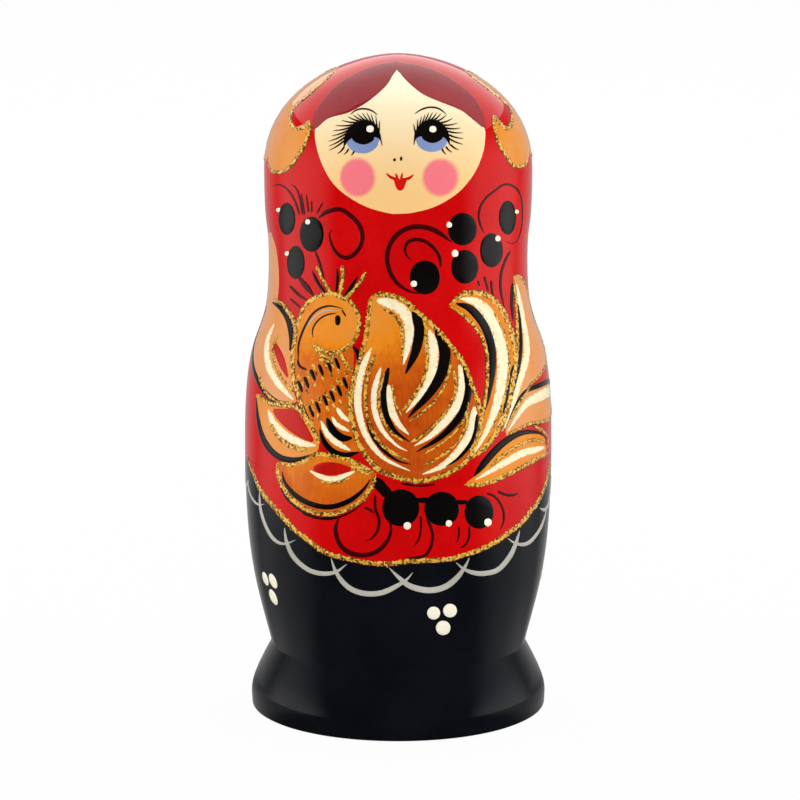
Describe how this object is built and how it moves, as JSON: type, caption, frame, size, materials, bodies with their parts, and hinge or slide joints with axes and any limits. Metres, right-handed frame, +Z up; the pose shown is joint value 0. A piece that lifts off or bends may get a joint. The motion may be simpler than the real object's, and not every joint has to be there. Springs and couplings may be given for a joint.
{
  "type": "nesting doll",
  "caption": "Turned wooden nesting doll, painted and lacquered, whose upper half lifts off its lower half to show smaller dolls standing one inside another.",
  "frame": {"origin": "centre of the outer doll's foot, on the surface that it stands on", "axes": "+Z up along the axis of turning, -Y towards the painted face, +X to the viewer's right"},
  "size_m": [0.0796, 0.0796, 0.17],
  "materials": {
    "red_lacquer": "gloss",
    "black_lacquer": "gloss",
    "face_paint": "gloss",
    "gold_paint": "glitter",
    "white_paint": "gloss",
    "orange_paint": "gloss"
  },
  "bodies": {
    "doll1_lower": {"doll1_lower_half": "black_lacquer"},
    "doll2_lower": {"doll2_lower_half": "black_lacquer"},
    "doll3_lower": {"doll3_lower_half": "black_lacquer"},
    "doll4_lower": {"doll4_lower_half": "black_lacquer"},
    "doll5_lower": {"doll5_lower_half": "black_lacquer"},
    "doll6_lower": {"doll6_lower_half": "black_lacquer"},
    "doll7": {"doll7_solid": "red_lacquer"},
    "doll6_upper": {"doll6_upper_half": "red_lacquer"},
    "doll5_upper": {"doll5_upper_half": "red_lacquer"},
    "doll4_upper": {"doll4_upper_half": "red_lacquer"},
    "doll3_upper": {"doll3_upper_half": "red_lacquer"},
    "doll2_upper": {"doll2_upper_half": "red_lacquer"},
    "doll1_upper": {"doll1_upper_half": "red_lacquer"}
  },
  "joints": [
    {"name": "doll2_lower_lift", "type": "slide", "parent": "doll1_lower", "child": "doll2_lower", "axis": [0, 0, 1], "range_m": [0, 0.065]},
    {"name": "doll3_lower_lift", "type": "slide", "parent": "doll2_lower", "child": "doll3_lower", "axis": [0, 0, 1], "range_m": [0, 0.05]},
    {"name": "doll4_lower_lift", "type": "slide", "parent": "doll3_lower", "child": "doll4_lower", "axis": [0, 0, 1], "range_m": [0, 0.038]},
    {"name": "doll5_lower_lift", "type": "slide", "parent": "doll4_lower", "child": "doll5_lower", "axis": [0, 0, 1], "range_m": [0, 0.028]},
    {"name": "doll6_lower_lift", "type": "slide", "parent": "doll5_lower", "child": "doll6_lower", "axis": [0, 0, 1], "range_m": [0, 0.02]},
    {"name": "doll7_lift", "type": "slide", "parent": "doll6_lower", "child": "doll7", "axis": [0, 0, 1], "range_m": [0, 0.014]},
    {"name": "doll6_upper_lift", "type": "slide", "parent": "doll7", "child": "doll6_upper", "axis": [0, 0, 1], "range_m": [0, 0.011]},
    {"name": "doll5_upper_lift", "type": "slide", "parent": "doll6_upper", "child": "doll5_upper", "axis": [0, 0, 1], "range_m": [0, 0.021]},
    {"name": "doll4_upper_lift", "type": "slide", "parent": "doll5_upper", "child": "doll4_upper", "axis": [0, 0, 1], "range_m": [0, 0.032]},
    {"name": "doll3_upper_lift", "type": "slide", "parent": "doll4_upper", "child": "doll3_upper", "axis": [0, 0, 1], "range_m": [0, 0.046]},
    {"name": "doll2_upper_lift", "type": "slide", "parent": "doll3_upper", "child": "doll2_upper", "axis": [0, 0, 1], "range_m": [0, 0.064]},
    {"name": "doll1_upper_lift", "type": "slide", "parent": "doll2_upper", "child": "doll1_upper", "axis": [0, 0, 1], "range_m": [0, 0.086]}
  ]
}
